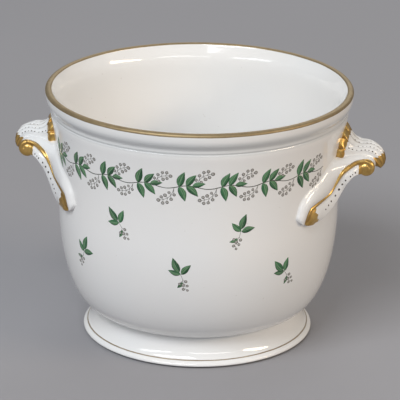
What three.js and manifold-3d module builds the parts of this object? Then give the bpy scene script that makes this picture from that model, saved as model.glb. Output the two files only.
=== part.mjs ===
// Two-handled porcelain planter: a turned bowl on a splayed foot, with a moulded handle on each side.
// Millimetres, +Z up. The origin is on the pot's axis, on the surface that it stands on.
// The handles lie along X, and the front of the pot faces -Y.

import * as THREE from 'three';
import { mergeVertices } from 'three/addons/utils/BufferGeometryUtils.js';
import Module from 'manifold-3d';

// Driving sizes
const potHeight = 180;
const rimRadius = 108;
const wallThickness = 4.2;
const jointGap = 0.3; // between parts that are stuck together before firing
const turnSteps = 60; // facets around the turned parts

// Foot: a cone that spreads down to a rounded toe
const footHeight = 20;
const footTopRadius = 72.9;
const footLineRadius = 78.2; // where the painted line runs, above the toe
const footLineHeight = 4.2;
const toeRadius = 81.4;
const footRestInner = 75; // inner edge of the flat that the pot stands on
const footRestOuter = 80.8;
const footBoreTop = 65.5; // radius of the hollow under the floor

// Bowl: a superellipse belly, then a neck that flares up to the lip
const bellyBase = 70.9;
const bellySwell = 28.1;
const bellyMid = 95; // height of the widest part of the belly
const bellyDrop = 75; // from there down to the bottom of the belly
const bellyPower = 2.1;
const neckTop = 163;
const neckFlare = 5.7;
const neckPower = 2.5;
const floorTop = 26;
const floorRadius = 58;

// Lip: groove, bead and cove under a rounded edge
const grooveRadius = 104.4;
const beadHeight = 166.2;
const beadRadius = 105.4;
const coveHeight = 169.4;
const coveRadius = 104.1;
const lipEdgeHeight = 177.8;
const lipInnerRadius = 104.2;

// Handle: places are [out from the axis, to the side, up]
const leafLobes = 7;
const leafThickness = 4.2;
const lobeDepth = 1.3;
const scallopReach = 0.09; // how far a lobe reaches past the leaf's root, as a part of the root's size
const leafSteps = 15;
const lobeSteps = 4;
const strapSteps = 19;
const ridgeRoll = 0.9; // radius of the roll along the strap's ridge
const curlRadius = 6.1;
const curlCentre = [119.8, 133.1]; // out, up
const curlSides = [9.2, 20.6]; // inner and outer face, to the side
const rootDepth = 5; // how far the straps' sides run on into the wall before they are cut

// Radius of the bowl's outside at a height, from its bottom up to the groove under the bead
function wallRadius(height) {
  if (height >= bellyMid) {
    return bellyBase + bellySwell + neckFlare * ((height - bellyMid) / (neckTop - bellyMid)) ** neckPower;
  }
  const fall = Math.min(1, (bellyMid - height) / bellyDrop);
  return bellyBase + bellySwell * (1 - fall ** bellyPower) ** (1 / bellyPower);
}

// Radius of the bowl's inside at a height
function innerRadius(height) {
  if (height >= bellyMid) return wallRadius(height) - wallThickness;
  const swell = wallRadius(bellyMid) - wallThickness - floorRadius;
  const fall = Math.min(1, (bellyMid - height) / (bellyMid - floorTop));
  return floorRadius + swell * (1 - fall ** bellyPower) ** (1 / bellyPower);
}

// Heights from low to high, closer together near the low end, where the belly turns fastest
function bellyHeights(low, high, count) {
  return Array.from({ length: count }, (_, i) => low + (high - low) * (i / (count - 1)) ** 2.2);
}

function smoothLine(points, steps) {
  return new THREE.SplineCurve(points.map(([r, z]) => new THREE.Vector2(r, z))).getPoints(steps);
}

// Outside of the bowl, from the edge of its underside up to the lip's outer edge
function outerProfile(grow = 0) {
  const seat = footHeight + jointGap;
  const line = bellyHeights(seat, bellyMid, 10).map((z) => new THREE.Vector2(wallRadius(z) + grow, z));
  for (const z of [118, 138, 152, neckTop]) line.push(new THREE.Vector2(wallRadius(z) + grow, z));
  const lip = [
    [grooveRadius, neckTop + 1.3], [beadRadius, beadHeight], [coveRadius + 0.3, beadHeight + 1.6],
    [coveRadius, coveHeight], [105.2, 173], [107.2, 176], [rimRadius, lipEdgeHeight],
  ];
  for (const [r, z] of lip) line.push(new THREE.Vector2(r + grow, z));
  return line;
}

function lathe(profile) {
  return new THREE.LatheGeometry(profile, turnSteps).rotateX(Math.PI / 2);
}

function bowlGeometry() {
  const seat = footHeight + jointGap;
  const lipTop = [[107.5, 179.3], [106.1, potHeight], [104.8, 179.6], [lipInnerRadius, 178.4]];
  const insideTop = [[100.9, 172]];
  const heights = bellyHeights(floorTop, bellyMid, 9).reverse();
  const profile = [
    new THREE.Vector2(0, seat + 2.2), new THREE.Vector2(footBoreTop - 6, seat + 1.4),
    new THREE.Vector2(footBoreTop - 1, seat),
    ...outerProfile(),
    ...[...lipTop, ...insideTop].map(([r, z]) => new THREE.Vector2(r, z)),
    ...[155, 135, 115].map((z) => new THREE.Vector2(innerRadius(z), z)),
    ...heights.map((z) => new THREE.Vector2(innerRadius(z), z)),
    new THREE.Vector2(0, floorTop),
  ];
  return lathe(profile);
}

function footGeometry() {
  const toe = smoothLine([[footRestOuter, 0], [toeRadius, 0.7], [80.3, 2.2], [footLineRadius, footLineHeight]], 5);
  const cone = smoothLine([[footLineRadius, footLineHeight], [76, 10], [74.4, 14.8], [footTopRadius, footHeight]], 3);
  const bore = smoothLine([[footBoreTop, footHeight], [67.5, 10], [71.5, 3], [footRestInner, 0]], 3);
  const profile = [...toe, ...cone.slice(1), ...bore];
  profile.push(profile[0].clone());
  return lathe(profile);
}

// Closed body through a row of rings with equal numbers of points, with a fan over each end
function loft(rings) {
  const count = rings[0].length;
  const vertices = rings.flat();
  const triangles = [];
  for (let i = 0; i + 1 < rings.length; i++) {
    for (let j = 0; j < count; j++) {
      const a = i * count + j;
      const b = i * count + (j + 1) % count;
      triangles.push(a, b, a + count, b, b + count, a + count);
    }
  }
  const ends = [[rings[0], 0, false], [rings[rings.length - 1], (rings.length - 1) * count, true]];
  for (const [ring, first, atTop] of ends) {
    const centre = vertices.push(ringMiddle(ring)) - 1;
    for (let j = 0; j < count; j++) {
      const pair = [first + j, first + (j + 1) % count];
      if (!atTop) pair.reverse();
      triangles.push(pair[0], pair[1], centre);
    }
  }
  const geometry = new THREE.BufferGeometry().setFromPoints(vertices);
  geometry.setIndex(triangles);
  return geometry;
}

const wasm = await Module();
wasm.setup();

// Solid of a closed geometry, with its faces turned to point out
function toSolid(geometry) {
  const bare = geometry.clone();
  bare.deleteAttribute('normal');
  bare.deleteAttribute('uv');
  const merged = mergeVertices(bare, 1e-4);
  const places = merged.attributes.position.array;
  const corners = Array.from(merged.index.array);
  let volume = 0;
  const [a, b, c] = [new THREE.Vector3(), new THREE.Vector3(), new THREE.Vector3()];
  const kept = [];
  for (let i = 0; i < corners.length; i += 3) {
    const [p, q, r] = corners.slice(i, i + 3);
    if (p === q || q === r || r === p) continue;
    a.fromArray(places, 3 * p);
    b.fromArray(places, 3 * q);
    c.fromArray(places, 3 * r);
    volume += a.dot(b.cross(c));
    kept.push(p, q, r);
  }
  if (volume < 0) kept.reverse();
  return new wasm.Manifold(new wasm.Mesh({
    numProp: 3, vertProperties: new Float32Array(places), triVerts: new Uint32Array(kept),
  }));
}

// Geometry of a solid's largest body: a cut can leave crumbs beside it
function toGeometry(solid) {
  const bodies = solid.decompose().sort((one, other) => other.volume() - one.volume());
  const mesh = bodies[0].getMesh();
  const geometry = new THREE.BufferGeometry();
  geometry.setAttribute('position', new THREE.BufferAttribute(new Float32Array(mesh.vertProperties), 3));
  geometry.setIndex(Array.from(mesh.triVerts));
  geometry.computeVertexNormals();
  return geometry;
}

// Everything inside the bowl's outside, grown by the joint gap: what a handle part may not enter
function wallCutter() {
  const profile = [new THREE.Vector2(0, footHeight), ...outerProfile(jointGap)];
  profile.push(new THREE.Vector2(0, lipEdgeHeight));
  return toSolid(lathe(profile));
}

// Leaf: the crest runs out from the neck, dips, swells and curls under; the hem runs along its side
const leafCrest = [
  [106.2, 0, 158], [106.8, 0, 154.2], [108.2, 0, 150.6], [111, 0, 147.6], [114.8, 0, 145.8], [118.6, 0, 145.9],
  [122.6, 0, 145.4], [126.6, 0, 143.6], [129.7, 0, 140.6], [131.4, 0, 136.9], [132, 0, 133.4], [131.4, 0, 130.6],
];
const leafHem = [
  [100.9, 21.6, 139.6], [102.6, 21.2, 140.1], [104.9, 20.2, 140.6], [108, 18.4, 141.2], [112, 16.2, 141.7],
  [116, 14.2, 141.6], [119.8, 12.5, 140], [123, 11.2, 137.6], [125.6, 10, 135], [127.6, 8.9, 132.2],
  [128.7, 7.9, 130.4], [129, 6.8, 129.3],
];

function curveThrough(places) {
  return new THREE.CatmullRomCurve3(places.map((place) => new THREE.Vector3(...place)), false, 'centripetal');
}

// How high a lobe swells at a place across the leaf: 1 on its back, 0 in the groove beside it
function lobeSwell(across) {
  const phase = across * leafLobes / 2;
  return 1 - (2 * (phase - Math.round(phase))) ** 2;
}

// Point on the smooth arch between the crest and the hem; across runs from -1 to 1
function archPoint(crest, hem, across) {
  const turn = across * Math.PI / 2;
  return new THREE.Vector3(
    crest.x + (hem.x - crest.x) * (1 - Math.cos(turn)),
    hem.y * Math.sin(turn),
    hem.z + (crest.z - hem.z) * Math.cos(turn),
  );
}

function leafRing(crest, hem, along, swell, thickness, reach) {
  const ring = [];
  const steps = leafLobes * lobeSteps;
  const slope = new THREE.Vector3();
  const out = new THREE.Vector3();
  for (let i = 0; i <= steps; i++) {
    const across = -1 + 2 * i / steps;
    const point = archPoint(crest, hem, across);
    slope.copy(archPoint(crest, hem, across + 0.01)).sub(archPoint(crest, hem, across - 0.01));
    out.copy(slope).cross(along).normalize();
    const lobe = lobeSwell(across);
    const spread = 1 + reach * lobe;
    point.y *= spread;
    point.z = hem.z + (point.z - hem.z) * spread;
    ring.push(point.addScaledVector(out, swell * lobe));
  }
  const underSteps = leafLobes * 2;
  const under = leafSideways(crest, hem, along, thickness);
  for (let i = underSteps; i >= 0; i--) ring.push(archPoint(under.crest, under.hem, -1 + 2 * i / underSteps));
  return ring;
}

// Crest and hem of the leaf's underside
function leafSideways(crest, hem, along, thickness) {
  const down = new THREE.Vector3(0, 1, 0).cross(along).normalize();
  if (down.z > 0 && along.x > 0) down.negate();
  return {
    crest: crest.clone().addScaledVector(down, thickness),
    hem: hem.clone().addScaledVector(down, 0.8 * thickness).add(new THREE.Vector3(0, -0.3 * thickness, 0)),
  };
}

function leafSolid() {
  const crestCurve = curveThrough(leafCrest);
  const hemCurve = curveThrough(leafHem);
  const rings = [];
  const sunk = (p) => new THREE.Vector3(p.x - 6, 0.85 * p.y, p.z);
  for (let i = 0; i <= leafSteps; i++) {
    const t = i / leafSteps;
    const along = crestCurve.getTangent(t);
    const tip = Math.sqrt(Math.max(0, 1 - ((t - 0.86) / 0.14) ** 2));
    const fade = t > 0.86 ? Math.max(tip, 0.15) : 1;
    const reach = scallopReach * Math.max(0, 1 - 5 * t);
    const ring = leafRing(
      crestCurve.getPoint(t), hemCurve.getPoint(t), along, lobeDepth * (1 - 0.5 * t), leafThickness * fade, reach,
    );
    if (i === 0) rings.push(ring.map(sunk));
    rings.push(ring);
  }
  return toSolid(loft(rings));
}

// Strap: four lines along it, from the curl down to the end that lies on the wall
const strapRidge = [
  [119.5, 19.8, 138.3], [114.5, 20.8, 137.6], [109.3, 24.4, 135.2], [104.3, 28.3, 131.2], [100.5, 30.2, 124.8],
  [97.3, 34.2, 118.8], [93.4, 41.5, 116.4], [89.4, 49.3, 115], [85.5, 55.6, 112.8], [83.5, 58.4, 109.6],
];
const strapShoulder = [
  [119.5, 12.6, 140], [114.5, 14.4, 140.9], [107.4, 19.6, 140.2], [98.4, 29.1, 138.2], [95.1, 36.6, 133.9],
  [92.4, 42.3, 129.8], [89.3, 48.2, 126.6], [84.7, 55.4, 123.2], [79.6, 62.2, 117.4], [77.3, 64.8, 111.6],
];
const strapHem = [
  [119.5, 18.8, 127.9], [116, 22, 129], [112.3, 25.8, 128.3], [108.8, 27.4, 124.6], [105.5, 27, 118.8],
  [101.9, 29.8, 112], [98.2, 36, 107], [93.8, 43, 103.4], [90.8, 47.6, 102.2], [88.4, 50, 101.6],
];
const strapPalm = [
  [119.5, 9.6, 129], [114.5, 12, 130.5], [104, 15, 130], [97, 17, 123.5], [94.5, 18.8, 118],
  [91, 23.5, 110.5], [88.2, 31, 105], [85.5, 38.5, 101.5], [83.2, 43.3, 100.4], [81.5, 46, 99.8],
];

// Rounded end: how wide the section still is, and how far it has gone on along the wall
const strapEnd = [[0.95, 1.7], [0.82, 3.4], [0.6, 4.8], [0.3, 5.6]];
const endWay = new THREE.Vector3(-0.275, 0.393, -0.877);

// Points between two corners of the strap's section, swelling out by a part of their distance
function swollenSide(from, to, out, bulge, steps) {
  const points = [];
  for (let i = 0; i < steps; i++) {
    const t = i / steps;
    const lift = bulge * from.distanceTo(to) * 4 * t * (1 - t);
    points.push(from.clone().lerp(to, t).addScaledVector(out, lift));
  }
  return points;
}

// Ring round the strap. Beside the wall its outer side turns straight in, so that the wall cuts it cleanly
function strapRing([shoulder, ridge, hem, palm], along, t, grow) {
  const facing = (from, to) => to.clone().sub(from).cross(along).normalize();
  const bandOut = facing(shoulder, ridge);
  const faceOut = facing(ridge, hem);
  const roll = bandOut.clone().add(faceOut).normalize();
  const ridgeTop = ridge.clone().addScaledVector(roll, ridgeRoll);
  const atWall = THREE.MathUtils.smoothstep(t, 0.2, 0.4);
  const inward = new THREE.Vector3(-shoulder.x, -shoulder.y, 0).normalize();
  const root = shoulder.clone().lerp(palm, 0.3 * (1 - atWall)).addScaledVector(inward, rootDepth * atWall);
  const ring = [
    root,
    ...swollenSide(shoulder, ridge, bandOut, 0.1 + 0.06 * THREE.MathUtils.smoothstep(t, 0.6, 0.9), 4),
    ridgeTop,
    ...swollenSide(ridge, hem, faceOut, 0.1 * THREE.MathUtils.smoothstep(t, 0, 0.15), 4).slice(1),
    ...swollenSide(hem, palm, facing(hem, palm), 0.12, 3),
    palm,
  ];
  if (!grow) return ring;
  const middle = ringMiddle(ring);
  return ring.map((p) => p.clone().addScaledVector(p.clone().sub(middle).normalize(), grow * 1.6));
}

function ringMiddle(ring) {
  return ring.reduce((sum, p) => sum.add(p), new THREE.Vector3()).divideScalar(ring.length);
}

function strapSolid(grow = 0) {
  const curves = [strapShoulder, strapRidge, strapHem, strapPalm].map(curveThrough);
  const rings = [];
  for (let i = 0; i <= strapSteps; i++) {
    const t = i / strapSteps;
    rings.push(strapRing(curves.map((curve) => curve.getPoint(t)), curves[1].getTangent(t), t, grow));
  }
  const last = rings[rings.length - 1];
  const middle = ringMiddle(last);
  for (const [size, reach] of strapEnd) {
    rings.push(last.map((p) => p.clone().lerp(middle, 1 - size).addScaledVector(endWay, reach + grow)));
  }
  return toSolid(loft(rings)).add(curlSolid(grow));
}

// Curl at the strap's upper end: a round knob with a rolled rim on its outer face
function curlSolid(grow) {
  const [inner, outer] = [curlSides[0] - grow, curlSides[1] + grow];
  const radius = curlRadius + grow;
  const profile = smoothLine([
    [0, outer - 0.5], [radius * 0.45, outer - 0.6], [radius * 0.75, outer], [radius * 0.95, outer - 0.8],
    [radius, outer - 2.4],
  ], 7);
  profile.push(new THREE.Vector2(radius, inner + 1.2), new THREE.Vector2(radius - 1.2, inner));
  profile.push(new THREE.Vector2(0, inner));
  profile.reverse();
  const knob = new THREE.LatheGeometry(profile, 20);
  return toSolid(knob.translate(curlCentre[0], 0, curlCentre[1]));
}

// The same geometry on the other side of the handle's middle plane
function mirrored(geometry) {
  const copy = geometry.clone().scale(1, -1, 1);
  copy.setIndex(Array.from(geometry.index.array).reverse());
  copy.computeVertexNormals();
  return copy;
}

const wallSpace = wallCutter();
const strap = toGeometry(strapSolid().subtract(wallSpace));
const strapSpace = toGeometry(strapSolid(jointGap));
const leaf = toGeometry(
  leafSolid().subtract(wallSpace).subtract(toSolid(strapSpace)).subtract(toSolid(mirrored(strapSpace))),
);

function glaze() {
  return new THREE.MeshStandardMaterial({ color: 0xeeeeec, roughness: 0.12, metalness: 0 });
}

function piece(name, geometry) {
  const mesh = new THREE.Mesh(geometry, glaze());
  mesh.name = name;
  return mesh;
}

// One handle, built along +X; the left one is the same handle turned half round
function handle(side) {
  const group = new THREE.Group();
  const [plus, minus] = side === 'right' ? ['rear', 'front'] : ['front', 'rear'];
  group.add(piece(`${side}_handle_leaf`, leaf));
  group.add(piece(`${side}_handle_${plus}_scroll`, strap));
  group.add(piece(`${side}_handle_${minus}_scroll`, mirrored(strap)));
  if (side === 'left') group.rotation.z = Math.PI;
  return group;
}

const planter = new THREE.Group();
planter.add(piece('bowl', bowlGeometry()));
planter.add(piece('foot_ring', footGeometry()));
planter.add(handle('right'), handle('left'));

export default planter;
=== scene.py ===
# Two-handled porcelain planter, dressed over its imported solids. Metres, +Z up, front towards -Y.
import bpy
import math
from mathutils import Matrix, Vector
from mathutils.kdtree import KDTree


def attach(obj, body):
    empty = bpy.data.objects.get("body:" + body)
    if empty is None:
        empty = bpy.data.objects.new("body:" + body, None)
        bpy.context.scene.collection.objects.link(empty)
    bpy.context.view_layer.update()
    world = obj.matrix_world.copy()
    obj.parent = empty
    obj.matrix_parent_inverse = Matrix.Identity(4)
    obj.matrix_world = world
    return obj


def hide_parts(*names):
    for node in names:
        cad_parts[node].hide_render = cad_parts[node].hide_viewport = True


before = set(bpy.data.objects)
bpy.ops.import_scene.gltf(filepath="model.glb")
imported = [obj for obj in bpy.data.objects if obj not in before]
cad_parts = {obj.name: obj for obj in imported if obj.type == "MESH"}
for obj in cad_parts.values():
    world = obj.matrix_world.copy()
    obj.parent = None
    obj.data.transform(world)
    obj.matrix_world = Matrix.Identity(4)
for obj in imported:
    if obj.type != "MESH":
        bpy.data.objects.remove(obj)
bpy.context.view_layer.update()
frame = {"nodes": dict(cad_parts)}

mm = 0.001
print("frame loaded:", ", ".join(frame["nodes"]))

# Camera: fitted to the photograph, which shows the right handle turned a little towards it
view = {"turn": 8.3, "distance": 1.7129, "height": 0.7237, "pitch": 20.12, "roll": 0.6, "lens": 231.0,
        "shift": (0.0039, -0.0045), "sensor": 36, "clip": (0.1, 50)}


def addObject(name, data):
    made = bpy.data.objects.new(name, data)
    bpy.context.collection.objects.link(made)
    return made


# A level direction so many degrees to the right of the camera, seen from the planter
def towards(bearing):
    angle = math.radians(bearing + view["turn"])
    return Vector((math.sin(angle), -math.cos(angle), 0))


def makeCamera():
    data = bpy.data.cameras.new("camera")
    data.sensor_width = view["sensor"]
    data.lens = view["lens"]
    data.shift_x, data.shift_y = view["shift"]
    data.clip_start, data.clip_end = view["clip"]
    camera = addObject("camera", data)
    heading = Matrix.Rotation(math.radians(view["turn"]), 4, "Z")
    tilt = Matrix.Rotation(math.radians(90 - view["pitch"]), 4, "X")
    roll = Matrix.Rotation(math.radians(view["roll"]), 4, "Z")
    place = Matrix.Translation(towards(0) * view["distance"] + Vector((0, 0, view["height"])))
    camera.matrix_world = place @ heading @ tilt @ roll
    bpy.context.scene.camera = camera


makeCamera()
print("camera placed")


# A socket of a node tree. Sums written with it add the tree's Math nodes
class Value:
    def __init__(self, tree, socket):
        self.tree = tree
        self.socket = socket

    def join(self, operation, *others):
        inputs = dict(enumerate((self, *others)))
        return self.tree.node("ShaderNodeMath", {"operation": operation}, inputs)

    def __add__(self, other):
        return self.join("ADD", other)

    def __sub__(self, other):
        return self.join("SUBTRACT", other)

    def __rsub__(self, other):
        return self.tree.node("ShaderNodeMath", {"operation": "SUBTRACT"}, {0: other, 1: self})

    def __mul__(self, other):
        return self.join("MULTIPLY", other)

    def __truediv__(self, other):
        return self.join("DIVIDE", other)

    def __pow__(self, other):
        return self.join("POWER", other)

    __radd__ = __add__
    __rmul__ = __mul__

    def size(self):
        return self.join("ABSOLUTE")

    def atLeast(self, other):
        return self.join("MAXIMUM", other)

    def atMost(self, other):
        return self.join("MINIMUM", other)

    # 0 below the edge and 1 above it, with a soft step between
    def above(self, edge, soft):
        inputs = {"Value": self, "From Min": edge - soft, "From Max": edge + soft}
        return self.tree.node("ShaderNodeMapRange", {"interpolation_type": "SMOOTHSTEP"}, inputs)

    # 1 within so much of a place and 0 further off
    def near(self, place, reach, soft):
        return 1 - (self - place).size().above(reach, soft)


# A node tree, and the one way in which nodes are added to it
class Tree:
    def __init__(self, nodes):
        self.nodes = nodes

    def node(self, kind, settings=None, inputs=None, output=0):
        made = self.nodes.nodes.new(kind)
        for name, setting in (settings or {}).items():
            setattr(made, name, setting)
        for name, given in (inputs or {}).items():
            if isinstance(given, Value):
                self.nodes.links.new(given.socket, made.inputs[name])
            else:
                made.inputs[name].default_value = given
        return Value(self, made.outputs[output]) if made.outputs else made

    # Another output of the node that a value comes from
    def also(self, value, name):
        return Value(self, value.socket.node.outputs[name])

    def split(self, vector):
        x = self.node("ShaderNodeSeparateXYZ", None, {0: vector})
        return x, self.also(x, "Y"), self.also(x, "Z")

    def joined(self, x, y, z):
        return self.node("ShaderNodeCombineXYZ", None, {0: x, 1: y, 2: z})


def asColour(given):
    return (*given, 1) if isinstance(given, tuple) and len(given) == 3 else given


# A material's tree, with the place on the piece in millimetres
class Paint(Tree):
    def __init__(self, name):
        self.material = bpy.data.materials.new(name)
        self.material.use_nodes = True
        super().__init__(self.material.node_tree)
        self.nodes.nodes.clear()
        self.place = self.node("ShaderNodeTexCoord", output="Object")
        self.x, self.y, self.z = (part / mm for part in self.split(self.place))

    def mix(self, share, one, other):
        inputs = {0: share, 6: asColour(one), 7: asColour(other)}
        return self.node("ShaderNodeMix", {"data_type": "RGBA"}, inputs, 2)

    def mottle(self, scale, detail=2.0, roughness=0.5, where=None):
        inputs = {"Vector": where or self.place, "Scale": scale, "Detail": detail, "Roughness": roughness}
        return self.node("ShaderNodeTexNoise", None, inputs)

    def attribute(self, name):
        return self.node("ShaderNodeAttribute", {"attribute_name": name}, output="Fac")

    # Distance from the planter's axis
    def radius(self):
        return (self.x ** 2 + self.y ** 2) ** 0.5

    def bump(self, height, strength, distance, under=None):
        inputs = {"Height": height, "Strength": strength, "Distance": distance}
        if under:
            inputs["Normal"] = under
        return self.node("ShaderNodeBump", None, inputs)

    def finish(self, sockets):
        given = {name: asColour(value) for name, value in sockets.items()}
        shader = self.node("ShaderNodeBsdfPrincipled", None, given)
        self.node("ShaderNodeOutputMaterial", None, {"Surface": shader})
        return self.material


def makeMesh(name, vertices, faces, finish):
    mesh = bpy.data.meshes.new(name)
    mesh.from_pydata([tuple(v) for v in vertices], [], faces)
    mesh.validate()
    if finish:
        mesh.materials.append(finish)
    mesh.shade_smooth()
    return mesh


# Takes a piece's modifiers into its mesh
def applied(piece):
    graph = bpy.context.evaluated_depsgraph_get()
    mesh = bpy.data.meshes.new_from_object(piece.evaluated_get(graph))
    piece.modifiers.clear()
    piece.data = mesh
    return piece


# A Geometry Nodes tree with named inputs, which grows a piece and leaves it a plain mesh
class Grower(Tree):
    def __init__(self, name, numbers, **others):
        group = bpy.data.node_groups.new(name, "GeometryNodeTree")
        super().__init__(group)
        for way in ("INPUT", "OUTPUT"):
            group.interface.new_socket("Geometry", in_out=way, socket_type="NodeSocketGeometry")
        self.keys = {}
        wanted = {label: "Float" for label in numbers} | others | {"Finish": "Material"}
        for label, kind in wanted.items():
            socket = group.interface.new_socket(label, in_out="INPUT", socket_type="NodeSocket" + kind)
            self.keys[label] = socket.identifier
        self.given = self.node("NodeGroupInput")

    def named(self, label):
        return self.also(self.given, label)

    def attribute(self, name, kind="FLOAT"):
        return self.node("GeometryNodeInputNamedAttribute", {"data_type": kind}, {"Name": name})

    def position(self):
        return self.split(self.node("GeometryNodeInputPosition"))

    def moved(self, geometry, x, y, z):
        place = self.joined(x, y, z)
        return self.node("GeometryNodeSetPosition", None, {"Geometry": geometry, "Position": place})

    def shape(self, label):
        return self.node("GeometryNodeObjectInfo", None, {"Object": self.named(label)}, "Geometry")

    # A turn about Z
    def spin(self, angle):
        return self.node("FunctionNodeEulerToRotation", None, {0: self.joined(0.0, 0.0, angle)})

    # A random number for each element, always the same for one seed
    def between(self, low, high, seed):
        inputs = {2: low, 3: high, "Seed": seed}
        return self.node("FunctionNodeRandomValue", {"data_type": "FLOAT"}, inputs, 1)

    # The same shape on every point
    def spread(self, points, shape, rotation, size):
        inputs = {"Points": points, "Instance": shape, "Rotation": rotation, "Scale": size}
        return self.node("GeometryNodeInstanceOnPoints", None, inputs)

    def real(self, geometry):
        return self.node("GeometryNodeRealizeInstances", None, {0: geometry})

    def close(self, geometry):
        smooth = self.node("GeometryNodeSetShadeSmooth", None, {0: self.real(geometry)})
        inputs = {"Geometry": smooth, "Material": self.named("Finish")}
        self.node("NodeGroupOutput", None, {0: self.node("GeometryNodeSetMaterial", None, inputs)})

    def grow(self, piece, values):
        live = piece.modifiers.new("grow", "NODES")
        live.node_group = self.nodes
        for label, value in values.items():
            live[self.keys[label]] = value
        return applied(piece)


# Finishes. Colours are linear, and a name in the plural is the scale of a noise
# the pooled grey is glaze pooled in hollows, laid on more strongly as painted shade under the lip and at the
# top of the foot
glaze = {"white": (0.81, 0.80, 0.785), "cool": (0.785, 0.795, 0.80), "poolingAndShade": (0.56, 0.58, 0.585),
         "speck": (0.42, 0.38, 0.33), "speckLevel": 0.875, "speckShare": 0.22, "roughness": 0.06,
         "wave": 0.00012, "refraction": 1.52, "drifts": 9.0, "smears": 60.0, "waves": 70.0, "ripples": 300.0,
         "specks": 520.0}
gilding = {"rise": 0.00008, "scuffs": 160.0, "brushMarks": 900.0}
# groove: darker gold painted as shade in the grooves of the gilt handles
gold = {"bright": (0.80, 0.53, 0.17), "deep": (0.50, 0.30, 0.085), "groove": (0.20, 0.10, 0.03),
        "hairline": (0.20, 0.125, 0.06), "roughness": 0.35}
rimGold = {"bright": (0.36, 0.275, 0.152), "deep": (0.285, 0.212, 0.115), "roughness": 0.5}
lineGold = {"bright": (0.36, 0.28, 0.18), "deep": (0.24, 0.18, 0.11), "roughness": 0.45}
biscuit = {"colour": (0.66, 0.60, 0.52), "grime": (0.34, 0.29, 0.24), "roughness": 0.85}


# White glaze, under everything else, greyed where glaze pools and, further, with painted shade in hollows
def glazeLayer(paint, poolingAndShade):
    drift = paint.mottle(glaze["drifts"], 2.0)
    white = paint.mix(drift.above(0.5, 0.22), glaze["white"], glaze["cool"])
    white = paint.mix(poolingAndShade, white, glaze["poolingAndShade"])
    pinholes = paint.mottle(glaze["specks"], 0.0).above(glaze["speckLevel"], 0.012)
    white = paint.mix(pinholes * glaze["speckShare"], white, glaze["speck"])
    roughness = glaze["roughness"] + paint.mottle(glaze["smears"], 3.0) * 0.04
    wave = paint.mottle(glaze["waves"], 1.5) + paint.mottle(glaze["ripples"], 1.0) * 0.12 - pinholes * 0.3
    return white, roughness, paint.bump(wave, 0.35, glaze["wave"])


# Gold over the glaze: the mask is 1 where it lies
def gildLayer(paint, layer, mask, metal):
    colour, roughness, normal = layer
    brushed = paint.mottle(gilding["brushMarks"], 3.0, 0.65)
    worn = paint.mottle(gilding["scuffs"], 4.0, 0.6)
    tone = paint.mix(worn.above(0.5, 0.25), metal["deep"], metal["bright"])
    rough = metal["roughness"] + (brushed - 0.5) * 0.12 + (worn - 0.5) * 0.15
    raised = paint.bump(mask + brushed * mask * 0.05, 0.5, gilding["rise"], normal)
    return paint.mix(mask, colour, tone), roughness * (1 - mask) + rough * mask, raised


def finishCeramic(paint, layer, metallic=0.0, coat=0.0):
    colour, roughness, normal = layer
    return paint.finish({
        "Base Color": colour, "Roughness": roughness, "Metallic": metallic, "Normal": normal,
        "Coat Weight": coat, "Coat Roughness": 0.1, "IOR": glaze["refraction"]})


# Turned pieces: radius and height in millimetres, as in the source
bowl = {"bellyBase": 70.9, "bellySwell": 28.1, "bellyMid": 95.0, "bellyDrop": 75.0, "bellyPower": 2.1,
        "neckTop": 163.0, "neckFlare": 5.7, "neckPower": 2.5, "wall": 4.2, "seat": 20.3, "floorTop": 26.0,
        "floorRadius": 58.0, "throat": 128.0, "steps": 256,
        # the underside, as radius and rise over the seat, and the floor inside
        "under": [(0, 2.2), (30, 1.9), (59.5, 1.4), (64.5, 0)], "floorRings": (40, 20, 0),
        # rows over the belly, the neck, the throat and the belly inside, crowded where the belly turns in
        "rows": (44, 30, 16, 40), "crowding": 2.2}
# heights that the lip is gilt down to, and radii of its crest and of where its outside starts
lip = {"goldOutside": 177.8, "goldInside": 179.1, "crest": 106.0, "outsideFrom": 103.0,
       # where the glaze pools and painted shade darkens the groove and the cove under the lip: height, half
       # width and how softly it ends
       "groove": (164.6, 1.2, 1.2), "cove": (169.9, 3.7, 1.6),
       "profile": [(104.35, 161.9), (104.45, 163.2), (104.4, 163.9), (104.2, 164.4), (104.2, 164.8),
                   (104.4, 165.3), (104.5, 165.9), (104.55, 167.0), (104.85, 168.0), (105.5, 169.1),
                   (106.25, 170.2), (106.85, 171.3), (107.3, 172.6), (107.6, 174.2), (107.85, 176.0),
                   (107.95, 177.6), (107.8, 178.7), (107.2, 179.5), (106.1, 179.95), (104.9, 180.0),
                   (104.1, 179.75), (103.6, 179.3), (103.15, 178.5), (102.4, 176.9), (101.5, 175.0),
                   (100.57, 173.0), (99.75, 171.0), (99.12, 169.0), (98.69, 167.0), (98.3, 164.0),
                   (98.02, 160.0), (97.72, 155.0), (97.3, 149.0), (96.75, 142.0), (96.1, 134.0)]}
# the thin gold line is given as height, half width and how softly it ends
# the pooled entry is the height above which the top of the foot is greyed by pooled glaze and painted shade
# under the belly, and how softly
foot = {"line": (5.1, 0.25, 0.12), "outsideFrom": 76.5, "bareTo": 0.5, "poolingAndShade": (18.9, 0.9), "steps": 256,
        "toe": [(77.2, 0.0), (77.5, 0.95), (78.9, 1.25), (80.6, 1.2), (81.6, 1.45), (81.95, 2.1),
                (81.7, 3.0), (80.9, 3.85), (79.8, 4.6), (78.65, 5.35), (77.65, 6.4), (76.75, 7.9),
                (75.8, 9.8), (74.9, 12.0), (74.0, 14.5), (73.35, 16.8), (73.0, 18.8), (72.9, 20.0)],
        "bore": [(65.5, 20.0), (67.5, 10.0), (71.5, 3.0), (75.0, 0.0)]}


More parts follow.
